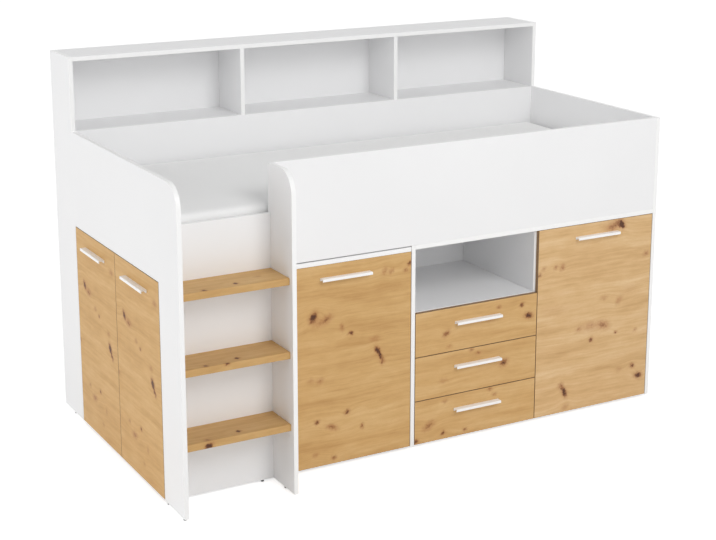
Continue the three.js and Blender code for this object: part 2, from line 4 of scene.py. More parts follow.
import bmesh
import bpy
import numpy as np
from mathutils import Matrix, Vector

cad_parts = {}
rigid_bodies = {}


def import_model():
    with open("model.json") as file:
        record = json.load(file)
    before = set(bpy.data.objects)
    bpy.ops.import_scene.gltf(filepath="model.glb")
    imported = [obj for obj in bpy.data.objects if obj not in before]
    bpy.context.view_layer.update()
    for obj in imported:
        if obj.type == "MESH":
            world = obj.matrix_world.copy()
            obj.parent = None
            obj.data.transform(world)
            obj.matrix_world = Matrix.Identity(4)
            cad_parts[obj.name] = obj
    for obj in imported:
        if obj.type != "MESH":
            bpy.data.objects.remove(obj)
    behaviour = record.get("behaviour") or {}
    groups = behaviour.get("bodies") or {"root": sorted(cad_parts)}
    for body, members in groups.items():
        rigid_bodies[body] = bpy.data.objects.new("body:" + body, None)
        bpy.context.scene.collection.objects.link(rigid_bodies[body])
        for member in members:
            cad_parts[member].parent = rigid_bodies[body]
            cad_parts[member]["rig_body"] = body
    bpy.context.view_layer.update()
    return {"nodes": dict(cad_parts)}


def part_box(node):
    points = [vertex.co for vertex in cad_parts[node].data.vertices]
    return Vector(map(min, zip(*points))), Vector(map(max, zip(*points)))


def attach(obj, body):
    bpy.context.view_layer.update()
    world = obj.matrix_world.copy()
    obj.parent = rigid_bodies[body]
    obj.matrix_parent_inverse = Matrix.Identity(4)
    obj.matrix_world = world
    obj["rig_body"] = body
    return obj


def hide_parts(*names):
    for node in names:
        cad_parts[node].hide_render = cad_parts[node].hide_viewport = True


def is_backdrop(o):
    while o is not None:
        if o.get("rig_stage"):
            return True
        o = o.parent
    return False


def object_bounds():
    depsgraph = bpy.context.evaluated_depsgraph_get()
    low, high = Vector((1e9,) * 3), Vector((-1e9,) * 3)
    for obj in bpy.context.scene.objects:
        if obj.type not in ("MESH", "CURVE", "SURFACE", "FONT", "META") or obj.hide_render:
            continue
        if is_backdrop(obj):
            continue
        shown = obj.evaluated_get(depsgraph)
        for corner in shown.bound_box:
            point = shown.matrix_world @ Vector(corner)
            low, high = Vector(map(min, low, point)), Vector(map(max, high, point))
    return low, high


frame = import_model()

scene = bpy.context.scene
MM = 0.001

# White boards: end panels, guards, bookcase and cabinet walls.
# Chipboard faced with white melamine and edge-banded in a brighter white, sawn square and eased by about a
# millimetre along every arris. They are dowelled together, so each keeps its own fine edge at a joint.
ARRIS = 0.8 * MM
ARRIS_STEPS = 4
ARRIS_MOST_OF_THICKNESS = 0.25
SHARP_EDGE = math.radians(12)
ARC_STEPS = 24
GLIDE_HEIGHT = 8 * MM
MELAMINE = (0.905, 0.905, 0.91, 1)
EDGING = (0.955, 0.955, 0.95, 1)
BLACK = (0, 0, 0, 1)
OBJECT_COORDINATES = 3
NOISE_MIDDLE = (0.3, 0.7)
CLOUD_SCALE = 3.0
CLOUD_SHADE = 0.985
PEARL_DETAIL = 3.0
GLOSS_SWING = 0.05
PLANE_AXES = {0: (1, 2), 1: (2, 0), 2: (0, 1)}


def add(tree, kind, *inputs, named=None, out=0, **settings):
    """One shader node. Its inputs are numbers, colours or other nodes' outputs, in order or by name."""
    made = tree.nodes.new("ShaderNode" + kind)
    for key, value in settings.items():
        setattr(made, key, value)
    pairs = list(zip(made.inputs, inputs))
    pairs += [(made.inputs[key], value) for key, value in (named or {}).items()]
    for socket, value in pairs:
        if isinstance(value, bpy.types.NodeSocket):
            tree.links.new(value, socket)
        elif value is not None:
            socket.default_value = value
    return made.outputs[out]


def new_material(name, **constants):
    """A material whose Principled shader has the given constants, with its tree and that shader."""
    material = bpy.data.materials.new(name)
    material.use_nodes = True
    shader = material.node_tree.nodes["Principled BSDF"]
    for key, value in constants.items():
        shader.inputs[key.replace("_", " ").title()].default_value = value
    return material, material.node_tree, shader


def object_place(tree):
    """The shaded point in the piece's own coordinates, in metres."""
    return add(tree, "TexCoord", out=OBJECT_COORDINATES)


def noise(tree, place, scale=5.0, detail=2.0, out=0):
    """Smooth noise over a place, with scale waves to each unit of it."""
    return add(tree, "TexNoise", named={"Vector": place, "Scale": scale, "Detail": detail}, out=out)


def paint(tree, shader, colour):
    """The shader's colour follows a node."""
    tree.links.new(colour, shader.inputs["Base Color"])


def vary_gloss(tree, shader, pattern, low, high):
    """The shader's roughness follows a noise, from low to high."""
    tree.links.new(add(tree, "MapRange", pattern, *NOISE_MIDDLE, low, high), shader.inputs["Roughness"])


def relief(tree, shader, height, distance):
    """Small relief: a height of 1 stands the distance above a height of 0."""
    bump = add(tree, "Bump", named={"Strength": 1.0, "Distance": distance, "Height": height})
    tree.links.new(bump, shader.inputs["Normal"])


def white_sheet(name, colour, roughness, grain, depth):
    """White plastic sheet: a fine pearl shifts its gloss and relief, and a broad cloud its shade."""
    material, tree, shader = new_material(name, roughness=roughness)
    place = object_place(tree)
    pearl = noise(tree, place, grain, PEARL_DETAIL)
    cloud = noise(tree, place, CLOUD_SCALE)
    shade = add(tree, "MapRange", cloud, *NOISE_MIDDLE, CLOUD_SHADE, 1.0)
    paint(tree, shader, add(tree, "MixRGB", shade, BLACK, colour))
    vary_gloss(tree, shader, pearl, roughness - GLOSS_SWING, roughness + GLOSS_SWING)
    relief(tree, shader, pearl, depth)
    return material


def quads(rows, columns):
    """Corner numbers of the quads between neighbouring rings, point c joining point c + 1, wrapped."""
    r, c = np.meshgrid(np.arange(rows - 1), np.arange(columns), indexing="ij")
    d = (c + 1) % columns
    corners = [r * columns + c, r * columns + d, (r + 1) * columns + d, (r + 1) * columns + c]
    return np.stack(corners, axis=-1).reshape(-1, 4)


def capped(name, rings, materials, edge_rings=()):
    """A closed mesh from rings of points (rows, columns, 3), with a flat face over the first and last ring.

    The caps take the first material, and the quads of the rings numbered in edge_rings the second.
    """
    rows, columns, _ = rings.shape
    sides = quads(rows, columns)
    caps = [list(range(columns))[::-1], list(range((rows - 1) * columns, rows * columns))]
    mesh = bpy.data.meshes.new(name)
    mesh.from_pydata(rings.reshape(-1, 3).tolist(), [], sides.tolist() + caps)
    slots = np.zeros(len(sides) + 2, dtype=np.int32)
    slots[:-2] = np.isin(np.arange(len(sides)) // columns, edge_rings)
    mesh.polygons.foreach_set("material_index", slots)
    for material in materials:
        mesh.materials.append(material)
    mesh.shade_smooth()
    mesh.set_sharp_from_angle(angle=SHARP_EDGE)
    mesh.update()
    made = bpy.data.objects.new(name, mesh)
    scene.collection.objects.link(made)
    return made


def plate(name, outline, axis, low, high, materials, arris=ARRIS):
    """A plate cut to an outline and eased along its arrises.

    The outline (n, 2) lies in the two axes after the thickness axis. Each ring is the outline drawn in
    along its mitres by arris * (1 - sin a) and set in from the face by arris * (1 - cos a), a going from
    0 to 90 degrees.
    """
    outline = np.asarray(outline, float)
    following = np.roll(outline, -1, axis=0)
    if np.sum(outline[:, 0] * following[:, 1] - following[:, 0] * outline[:, 1]) < 0:
        outline = outline[::-1]
        following = np.roll(outline, -1, axis=0)
    edge = following - outline
    edge /= np.linalg.norm(edge, axis=1, keepdims=True)
    inward = np.stack([-edge[:, 1], edge[:, 0]], axis=1)
    before = np.roll(inward, 1, axis=0)
    mitre = (inward + before) / (1 + np.sum(inward * before, axis=1, keepdims=True))
    arris = min(arris, (high - low) * ARRIS_MOST_OF_THICKNESS)
    turn = np.linspace(0, math.pi / 2, ARRIS_STEPS)
    drawn = np.concatenate([arris * (1 - np.sin(turn)), arris * (1 - np.sin(turn[::-1]))])
    across = np.concatenate([low + arris * (1 - np.cos(turn)), high - arris * (1 - np.cos(turn[::-1]))])
    rings = np.zeros((len(drawn), len(outline), 3))
    rings[:, :, list(PLANE_AXES[axis])] = outline + drawn[:, None, None] * mitre
    rings[:, :, axis] = across[:, None]
    return capped(name, rings, materials, edge_rings=range(len(drawn) - 1))


def rectangle(low, high, axis):
    """The four corners of a box's face across an axis."""
    a, b = PLANE_AXES[axis]
    return [(low[a], low[b]), (high[a], low[b]), (high[a], high[b]), (low[a], high[b])]


def arc(centre, radius, start, end, steps=ARC_STEPS):
    """Points along a circle: centre + radius * (cos a, sin a), a from start to end in degrees."""
    angle = np.radians(np.linspace(start, end, steps + 1))
    return [(centre[0] + radius * math.cos(a), centre[1] + radius * math.sin(a)) for a in angle]


def stands_for(piece, node):
    """The piece takes a CAD node's place and body, and the node is hidden."""
    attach(piece, frame["nodes"][node]["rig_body"])
    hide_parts(node)
    return piece


def board(node, materials, arris=ARRIS):
    """An eased board in a CAD board's place, above its glides, its thickness along its shortest side."""
    low, high = (np.array(corner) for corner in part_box(node))
    low[2] = max(low[2], GLIDE_HEIGHT)
    axis = int((high - low).argmin())
    outline = rectangle(low, high, axis)
    return stands_for(plate(f"edged_{node}", outline, axis, low[axis], high[axis], materials, arris), node)


melamine = white_sheet("white_melamine", MELAMINE, roughness=0.42, grain=900.0, depth=0.03 * MM)
edging = white_sheet("white_edging", EDGING, roughness=0.34, grain=400.0, depth=0.02 * MM)
white = [melamine, edging]
PLAIN_BOARDS = [
    "right_end_panel", "ladder_back_panel", "front_guard", "rear_guard", "desk_bay_wall",
    "bookcase_left_side", "bookcase_right_side", "bookcase_top", "bookcase_shelf",
    "bookcase_divider_left", "bookcase_divider_right", "bookcase_back",
    "left_cupboard_floor", "left_cupboard_top", "left_cupboard_rear_wall",
    "desk_bay_divider", "cabinet_base_board", "cabinet_top_board", "drawer_divider", "niche_floor",
    "cabinet_back_panel",
]
for node in PLAIN_BOARDS:
    board(node, white)

# The two panels beside the ladder.
# Both have one large round corner at the top front. The left one is an L cut from a single board: a head
# over the pair of doors and a leg down to the floor.
LADDER_CORNER = 80 * MM
DOOR_GAP = 2 * MM
low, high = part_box("left_end_panel")
door_low, door_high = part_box("left_front_door")
leg_back = door_low[1] - DOOR_GAP
head_bottom = door_high[2] + DOOR_GAP
round_top = arc((low[1] + LADDER_CORNER, high[2] - LADDER_CORNER), LADDER_CORNER, 90, 180)
left_outline = [
    (low[1], GLIDE_HEIGHT), (leg_back, GLIDE_HEIGHT), (leg_back, head_bottom),
    (high[1], head_bottom), (high[1], high[2]), *round_top,
]
stands_for(plate("edged_left_end_panel", left_outline, 0, low[0], high[0], white), "left_end_panel")
low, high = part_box("ladder_side_panel")
side_outline = [(low[1], GLIDE_HEIGHT), (high[1], GLIDE_HEIGHT), (high[1], high[2]), *round_top]
stands_for(plate("edged_ladder_side_panel", side_outline, 0, low[0], high[0], white), "ladder_side_panel")

# Floor glides.
# Round black plastic feet nailed into the lower edges of the boards, domed below so that they slide. They
# are found under each CAD board as its lowest points, parted where they lie well away from each other.
GLIDE_BLACK = (0.02, 0.02, 0.021, 1)
GLIDE_PROFILE = np.array([(2.5, 0), (4.6, 0.4), (5.8, 1.6), (6, 3), (6, 8)]) * MM
GLIDE_STEPS = 24
GLIDES_APART = 20 * MM
FLOOR_TOUCH = 0.1 * MM
WITH_GLIDES = [
    "left_end_panel", "right_end_panel", "ladder_side_panel", "ladder_back_panel",
    "bookcase_left_side", "bookcase_right_side", "desk_bay_wall", "left_cupboard_rear_wall",
    "desk_bay_divider", "cabinet_base_board",
]


def turned(name, profile, centre, axis, material, steps):
    """A turned shape: a profile of (radius, height) pairs, carried round an axis through a centre."""
    radius, height = np.asarray(profile, float).T
    angle = np.linspace(0, 2 * math.pi, steps, endpoint=False)
    across = [np.outer(radius, np.cos(angle)), np.outer(radius, np.sin(angle))]
    ring = [*across, np.outer(height, np.ones(steps))]
    rings = np.roll(np.stack(ring, axis=-1), axis + 1, axis=-1) + np.asarray(centre, float)
    return capped(name, rings, [material])


def points_of(mesh):
    """The places of a mesh's vertices, a row for each."""
    points = np.empty(len(mesh.vertices) * 3)
    mesh.vertices.foreach_get("co", points)
    return points.reshape(-1, 3)


glide_plastic, tree, shader = new_material("glide_plastic", base_color=GLIDE_BLACK, roughness=0.5)
relief(tree, shader, noise(tree, object_place(tree), scale=1200.0), 0.05 * MM)
for node in WITH_GLIDES:
    points = points_of(frame["nodes"][node].data)
    feet = points[points[:, 2] < FLOOR_TOUCH]
    along = np.ptp(feet, axis=0).argmax()
    feet = feet[feet[:, along].argsort()]
    breaks = np.flatnonzero(np.diff(feet[:, along]) > GLIDES_APART) + 1
    for i, foot in enumerate(np.split(feet, breaks)):
        middle = (foot.min(axis=0) + foot.max(axis=0)) / 2
        glide = turned(f"{node}_glide_{i + 1}", GLIDE_PROFILE, middle, 2, glide_plastic, GLIDE_STEPS)
        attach(glide, "root")

# Oak boards: treads, doors, drawer fronts and the desk's front.
# Chipboard with a printed knotty oak face: honey-brown grain running across, bent round dark knots with red
# halos, satin to the touch. Each knot is placed from the board's own lower left corner.
OAK_LIGHT = (0.75, 0.52, 0.265, 1)
OAK_MIDDLE = (0.655, 0.415, 0.182, 1)
OAK_DARK = (0.53, 0.305, 0.118, 1)
# Painted shade: the oak edges are coloured far darker than the face. This is partly a darker oak edging and
# partly the shadow in the gaps between boards.
EDGE_GAP_SHADE_DARK = (0.22, 0.12, 0.05, 1)
EDGE_GAP_SHADE_LIGHT = (0.34, 0.2, 0.09, 1)
KNOT_HALO = (0.44, 0.2, 0.08, 1)
KNOT_BROWN = (0.25, 0.1, 0.038, 1)
KNOT_CORE = (0.085, 0.03, 0.013, 1)
STAINS = [(0.04, 0.5, 0.62, KNOT_HALO), (0.46, 0.74, 0.86, KNOT_BROWN), (0.8, 1.06, 0.95, KNOT_CORE)]
KNOT_FALL = 0.3679
KNOT_EDGE_SCALE = 90.0
KNOT_EDGE_REACH = (0.017, 0.017, 0.0)
NOISE_CENTRE = (0.5, 0.5, 0.5)
EVERY_DEPTH = 1e6
BEND_WIDTH = 0.14
BEND_HEIGHT = 1.3
WAVE_SCALE = 3.2
WAVE_HEIGHT = 0.022
STREAK_SEED = 3.7
STREAK_ROUGHNESS = 0.55
TONE_MIDDLE = (0.33, 0.65)
PORE_MIDDLE = (0.6, 0.72)
PORE_DARKNESS = 0.4
PORE_SINK = -1.2
OAK_ROUGHNESS = 0.55
OAK_GLOSS = (0.48, 0.6)
OAK_SHINE = 0.3
OAK_RELIEF = 0.06 * MM
STRIP_SCALE = (60.0, 60.0, 60.0)
NOISE_COLOUR = 1
VECTOR_VALUE = 1


def oak(name, along, up, origin, knots, seed, tone):
    """Printed oak over the plane (along, up), measured in metres from an origin.

    along and up are weights of x, y and z. A knot is (place along, place up, radius, darkness, slant,
    stretch) in millimetres and degrees. Each adds darkness * exp(-d * d) to a stain, d being the distance
    in radii, and a wider bell of the same kind to the height of the grain, so that the lines close round it.
    """
    material, tree, shader = new_material(name, roughness=OAK_ROUGHNESS)
    shader.inputs["Specular IOR Level"].default_value = OAK_SHINE
    place = add(tree, "VectorMath", object_place(tree), tuple(origin), operation="SUBTRACT")
    u = add(tree, "VectorMath", place, along, operation="DOT_PRODUCT", out=VECTOR_VALUE)
    v = add(tree, "VectorMath", place, up, operation="DOT_PRODUCT", out=VECTOR_VALUE)
    plane = add(tree, "CombineXYZ", u, v, seed)
    wander = noise(tree, plane, KNOT_EDGE_SCALE, detail=3.0, out=NOISE_COLOUR)
    shift = add(tree, "VectorMath", wander, NOISE_CENTRE, operation="SUBTRACT")
    ragged = add(tree, "VectorMath", shift, KNOT_EDGE_REACH, plane, operation="MULTIPLY_ADD")

    stain = 0.0
    grain_height = v
    for i, (at, height, radius, darkness, slant, stretch) in enumerate(knots):
        spot = add(tree, "Mapping", ragged, vector_type="TEXTURE", named={
            "Location": (at * MM, height * MM, 0.0),
            "Rotation": (0.0, 0.0, math.radians(slant)),
            "Scale": (radius * stretch * MM, radius * MM, EVERY_DEPTH),
        })
        square = add(tree, "VectorMath", spot, spot, operation="DOT_PRODUCT", out=VECTOR_VALUE)
        bell = add(tree, "Math", KNOT_FALL, square, operation="POWER")
        wide = add(tree, "Math", bell, BEND_WIDTH, operation="POWER")
        stain = add(tree, "Math", bell, darkness, stain, operation="MULTIPLY_ADD")
        bend = radius * MM * darkness * (BEND_HEIGHT if i % 2 else -BEND_HEIGHT)
        grain_height = add(tree, "Math", wide, bend, grain_height, operation="MULTIPLY_ADD")

    wave = noise(tree, plane, WAVE_SCALE)
    grain_height = add(tree, "Math", wave, WAVE_HEIGHT, grain_height, operation="MULTIPLY_ADD")

    def streaks(long, fine, detail):
        """Noise drawn out along the grain: waves per metre along it, and across it."""
        flow_along = add(tree, "Math", u, long, operation="MULTIPLY")
        flow_across = add(tree, "Math", grain_height, fine, operation="MULTIPLY")
        flow = add(tree, "CombineXYZ", flow_along, flow_across, seed * STREAK_SEED)
        return add(tree, "TexNoise", named={
            "Vector": flow, "Scale": 1.0, "Detail": detail, "Roughness": STREAK_ROUGHNESS,
        })

    bands = streaks(long=1.8, fine=21.0, detail=4.0)
    mottle = streaks(long=13.0, fine=36.0, detail=3.0)
    lines = streaks(long=6.0, fine=120.0, detail=3.0)
    fibre = streaks(long=20.0, fine=520.0, detail=2.0)
    pores = streaks(long=55.0, fine=1300.0, detail=1.0)

    mixed = 0.0
    for streak, share in [(bands, 0.44), (mottle, 0.2), (lines, 0.25), (fibre, 0.11)]:
        mixed = add(tree, "Math", streak, share, mixed, operation="MULTIPLY_ADD")
    level = add(tree, "MapRange", mixed, *TONE_MIDDLE, 0.0, 1.0)
    lower = add(tree, "MapRange", level, 0.0, 0.5, 0.0, 1.0)
    upper = add(tree, "MapRange", level, 0.5, 1.0, 0.0, 1.0)
    colour = add(tree, "MixRGB", lower, OAK_DARK, OAK_MIDDLE)
    colour = add(tree, "MixRGB", upper, colour, OAK_LIGHT)
    pore = add(tree, "MapRange", pores, *PORE_MIDDLE, 0.0, PORE_DARKNESS)
    colour = add(tree, "MixRGB", pore, colour, OAK_DARK)

    freckle = noise(tree, ragged, scale=130.0, detail=4.0)
    rough_stain = add(tree, "Math", freckle, 0.5, operation="ADD")
    stain = add(tree, "Math", stain, rough_stain, operation="MULTIPLY")
    for start, end, most, stain_colour in STAINS:
        share = add(tree, "MapRange", stain, start, end, 0.0, most)
        colour = add(tree, "MixRGB", share, colour, stain_colour)
    paint(tree, shader, add(tree, "MixRGB", 1.0, colour, tone, blend_type="MULTIPLY"))
    vary_gloss(tree, shader, fibre, *OAK_GLOSS)
    height = add(tree, "Math", pore, PORE_SINK, fibre, operation="MULTIPLY_ADD")
    relief(tree, shader, height, OAK_RELIEF)
    return material


def oak_board(node, along, up, knots, seed, tone):
    """An eased oak board, its print starting at the lowest corner of its box, edged in a dark oak strip that
    also paints the shade of the gaps beside it.
    """
    face = oak(f"oak_{node}", along, up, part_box(node)[0], knots, seed, tone)
    return board(node, [face, dark_oak_edging_with_gap_shade])


def stretched_place(tree, scale):
    """The shaded point, with each of its coordinates multiplied by a number of its own."""
    return add(tree, "Mapping", object_place(tree), named={"Scale": scale})


# Darker oak edging whose colour also paints the shade in the gaps and joints beside each board.
dark_oak_edging_with_gap_shade, tree, shader = new_material("dark_oak_edging_with_gap_shade", roughness=0.5)
edge_shade_noise = noise(tree, stretched_place(tree, STRIP_SCALE))
paint(tree, shader, add(tree, "MixRGB", edge_shade_noise, EDGE_GAP_SHADE_DARK, EDGE_GAP_SHADE_LIGHT))
relief(tree, shader, edge_shade_noise, 0.05 * MM)

# Ladder treads.
# Three thick oak boards between the two side panels, set back from their front edges. All carry the same
# grain and one knot alike, and the print turns down over the front edge.
FRONT_ALONG = (1, 0, 0)
BACK_AND_UP = (0, 1, 1)
TREAD_SEED = 0.31
TREAD_TONE = (0.9, 0.86, 0.76, 1)
TREAD_ARRIS = 2.5 * MM
SHARED_KNOT = (203, 56, 8, 1.3, 20, 1.2)
TREAD_KNOTS = {
    "lower": [SHARED_KNOT, (84, 36, 9, 0.6, -15, 1.5), (84, 8, 9, 1.45, 10, 1.6)],
    "middle": [SHARED_KNOT, (84, 36, 7, 0.95, -15, 1.4), (155, 24, 7, 1.05, 0, 1.2)],
    "upper": [SHARED_KNOT, (84, 34, 7, 1.0, -15, 1.4), (300, 92, 9, 0.4, 10, 1.6)],
}
for name, knots in TREAD_KNOTS.items():
    node = f"tread_{name}"
    face = oak(f"oak_{node}", FRONT_ALONG, BACK_AND_UP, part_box(node)[0], knots, TREAD_SEED, TREAD_TONE)
    board(node, [face, face], TREAD_ARRIS)

# Doors.
# Three flat oak doors. The pair at the ladder end carries one and the same print; the right one, under the
# guard, is a little paler.
LEFT_ALONG = (0, 1, 0)
UPRIGHT = (0, 0, 1)
LEFT_DOOR_SEED = 0.83
RIGHT_DOOR_SEED = 1.57
LEFT_DOOR_TONE = (0.97, 0.93, 0.83, 1)
RIGHT_DOOR_TONE = (1.06, 1.09, 1.2, 1)
LEFT_DOOR_KNOTS = [
    (326, 555, 13, 1.2, 50, 1.4), (286, 536, 15, 0.65, 0, 1.5), (219, 492, 10, 0.45, 0, 1.6),
    (182, 474, 8, 0.75, 0, 1.3), (89, 435, 11, 0.45, 10, 1.6), (77, 386, 14, 1.25, 58, 1.4),
    (60, 358, 9, 0.8, 58, 2.2), (400, 325, 9, 0.6, 0, 1.3), (38, 674, 14, 0.5, 0, 1.5),
    (309, 171, 9, 0.55, 0, 1.3), (198, 181, 8, 1.0, 20, 1.2), (261, 136, 15, 0.62, -12, 1.8),
    (140, 125, 9, 0.45, 80, 1.5), (180, 60, 9, 0.4, 0, 1.6),
]
RIGHT_DOOR_KNOTS = [
    (389, 709, 11, 1.2, -55, 1.5), (370, 722, 15, 0.5, 0, 1.6), (338, 704, 15, 0.42, 0, 1.6),
    (509, 582, 11, 0.6, 20, 1.3), (81, 584, 9, 0.55, 30, 1.3), (112, 581, 12, 0.6, 60, 1.3),
    (25, 587, 9, 0.5, 20, 1.3), (5, 564, 9, 0.75, 0, 1.3), (312, 431, 11, 0.42, 0, 1.8),
    (386, 411, 13, 0.5, 45, 1.5), (315, 322, 18, 0.6, -20, 1.7), (250, 330, 18, 0.35, 0, 1.8),
    (197, 324, 11, 0.45, 30, 1.4), (376, 282, 7, 0.9, 0, 1.2), (257, 272, 9, 1.0, 60, 1.2),
    (471, 277, 8, 0.55, 0, 1.2), (465, 130, 10, 1.0, -20, 1.3), (496, 85, 13, 1.25, -15, 1.5),
    (136, 82, 11, 1.25, -66, 2.3), (118, 112, 11, 0.5, 40, 1.4), (145, 20, 12, 0.42, 20, 1.6),
    (400, 125, 11, 0.35, 0, 1.6), (85, 412, 22, 0.16, 0, 3.0), (440, 448, 18, 0.18, 8, 2.6),
    (345, 716, 26, 0.26, 0, 2.2), (250, 315, 26, 0.16, 0, 2.6),
]
for node in ["left_front_door", "left_rear_door"]:
    oak_board(node, LEFT_ALONG, UPRIGHT, LEFT_DOOR_KNOTS, LEFT_DOOR_SEED, LEFT_DOOR_TONE)
oak_board("right_door", FRONT_ALONG, UPRIGHT, RIGHT_DOOR_KNOTS, RIGHT_DOOR_SEED, RIGHT_DOOR_TONE)

# Drawers.
# Three oak fronts, each screwed to an open box of white boards with a thin bottom. A box's four walls and
# its bottom are boards of their own, cut to the drawer box of the CAD.
DRAWER_SEED = 2.2
DRAWER_SEED_STEP = 0.9
DRAWER_TONE = (0.97, 0.94, 0.87, 1)
DRAWER_KNOTS = {
    "upper": [
        (461, 129, 9, 1.0, 30, 1.2), (493, 82, 12, 1.25, -20, 1.5), (358, 135, 8, 0.65, 0, 1.3),
        (131, 71, 12, 0.75, 35, 1.5), (145, 19, 9, 0.45, 0, 1.5), (320, 95, 12, 0.35, 0, 1.8),
    ],
    "middle": [
        (384, 83, 14, 0.95, 20, 1.4), (240, 158, 8, 0.65, 0, 1.4), (271, 141, 8, 0.6, 0, 1.4),
        (120, 60, 12, 0.35, 0, 1.8),
    ],
    "lower": [
        (346, 134, 9, 0.5, 10, 1.4), (325, 157, 8, 0.65, 0, 1.3), (128, 146, 9, 0.5, 0, 1.5),
        (60, 63, 15, 0.65, 30, 1.9), (122, 24, 8, 1.0, 0, 1.2), (217, 18, 8, 0.7, 0, 1.3),
        (6, 12, 9, 1.0, 0, 1.3),
    ],
}
BOX_WALL = 12 * MM
BOX_FLOOR = 4 * MM
box_white = white_sheet("drawer_white", MELAMINE, roughness=0.5, grain=700.0, depth=0.04 * MM)
for i, (level, knots) in enumerate(DRAWER_KNOTS.items()):
    seed = DRAWER_SEED + DRAWER_SEED_STEP * i
    oak_board(f"drawer_front_{level}", FRONT_ALONG, UPRIGHT, knots, seed, DRAWER_TONE)
    node = f"drawer_box_{level}"
    low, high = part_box(node)
    inner = (low[0] + BOX_WALL, high[0] - BOX_WALL)
    walls = {
        "left_side": (0, (low[0], inner[0]), (low[1], high[1]), (low[2], high[2])),
        "right_side": (0, (inner[1], high[0]), (low[1], high[1]), (low[2], high[2])),
        "inner_front": (1, inner, (low[1], low[1] + BOX_WALL), (low[2], high[2])),
        "rear": (1, inner, (high[1] - BOX_WALL, high[1]), (low[2], high[2])),
        "bottom": (2, inner, (low[1] + BOX_WALL, high[1] - BOX_WALL), (low[2], low[2] + BOX_FLOOR)),
    }
    for wall, (axis, x, y, z) in walls.items():
        start, end = np.array([x, y, z]).T
        outline = rectangle(start, end, axis)
        finish = [box_white, edging]
        made = plate(f"drawer_{level}_{wall}", outline, axis, start[axis], end[axis], finish)
        stands_for(made, node)

# Roll-out desk.
# A white worktop on an oak front and a white rear panel, with a low stretcher between them that carries the
# two axles. It stands on its wheels and rolls out from under the bed.
DESK_SEED = 5.3
DESK_TONE = (0.96, 0.93, 0.85, 1)
DESK_KNOTS = [
    (140, 552, 14, 1.25, 58, 1.5), (195, 540, 14, 0.6, 25, 1.6), (165, 527, 16, 0.4, 0, 1.6),
    (252, 500, 9, 0.6, -70, 1.6), (287, 473, 8, 1.0, 0, 1.3), (382, 436, 13, 0.45, 0, 1.6),
    (394, 392, 10, 1.25, -60, 1.5), (408, 366, 8, 1.0, -62, 2.2), (414, 342, 9, 0.6, 20, 1.3),
    (166, 318, 11, 0.5, 20, 1.4), (130, 325, 10, 0.38, 0, 1.5), (272, 183, 9, 1.0, 30, 1.3),
    (153, 167, 8, 1.0, 0, 1.3), (212, 137, 12, 0.68, -22, 2.1), (332, 119, 8, 0.75, 80, 1.4),
    (219, 21, 9, 0.7, 0, 1.3), (146, 46, 10, 0.45, 0, 1.4), (450, 673, 10, 0.55, 60, 1.3),
    (423, 677, 11, 0.5, 70, 1.5), (509, 671, 8, 0.6, 0, 1.3), (524, 693, 8, 1.0, 40, 1.2),
]


def refinish(piece, material):
    """A piece keeps its shape and takes another finish."""
    piece.data.materials.clear()
    piece.data.materials.append(material)


oak_board("desk_front", FRONT_ALONG, UPRIGHT, DESK_KNOTS, DESK_SEED, DESK_TONE)
board("desk_worktop", white)
board("desk_rear_panel", white)
refinish(frame["nodes"]["desk_stretcher"], melamine)

# Desk wheels.
# Grey plastic wheels with a rounded tread, a sunk web and a raised hub, two to each steel axle. Wheel and
# axle are turned from their profiles, and one wheel is the other turned end for end.
AXLE_RADIUS = 5 * MM
AXLE_STEPS = 48
WHEEL_RADIUS = 25 * MM
WHEEL_WIDTH = 20 * MM
WHEEL_STEPS = 72
WHEEL_EASING = 4 * MM
EASING_STEPS = 6
RIM_TOP = 5 * MM
RIM_FOOT = 6 * MM
WEB_SINK = 3 * MM
HUB_RADIUS = 11 * MM
HUB_WIDTH = 6 * MM
HUB_EASING = 1 * MM
WHEEL_DARK = (0.035, 0.035, 0.038, 1)
WHEEL_WORN = (0.07, 0.07, 0.074, 1)
AXLE_GREY = (0.55, 0.56, 0.57, 1)
wheel_plastic, tree, shader = new_material("wheel_plastic", roughness=0.45)
place = object_place(tree)
scuff = noise(tree, place, scale=60.0, detail=4.0)
paint(tree, shader, add(tree, "MixRGB", scuff, WHEEL_DARK, WHEEL_WORN))
relief(tree, shader, noise(tree, place, scale=900.0), 0.05 * MM)
axle_steel, tree, shader = new_material("axle_steel", base_color=AXLE_GREY, metallic=1.0)
vary_gloss(tree, shader, noise(tree, object_place(tree), scale=700.0), 0.22, 0.4)

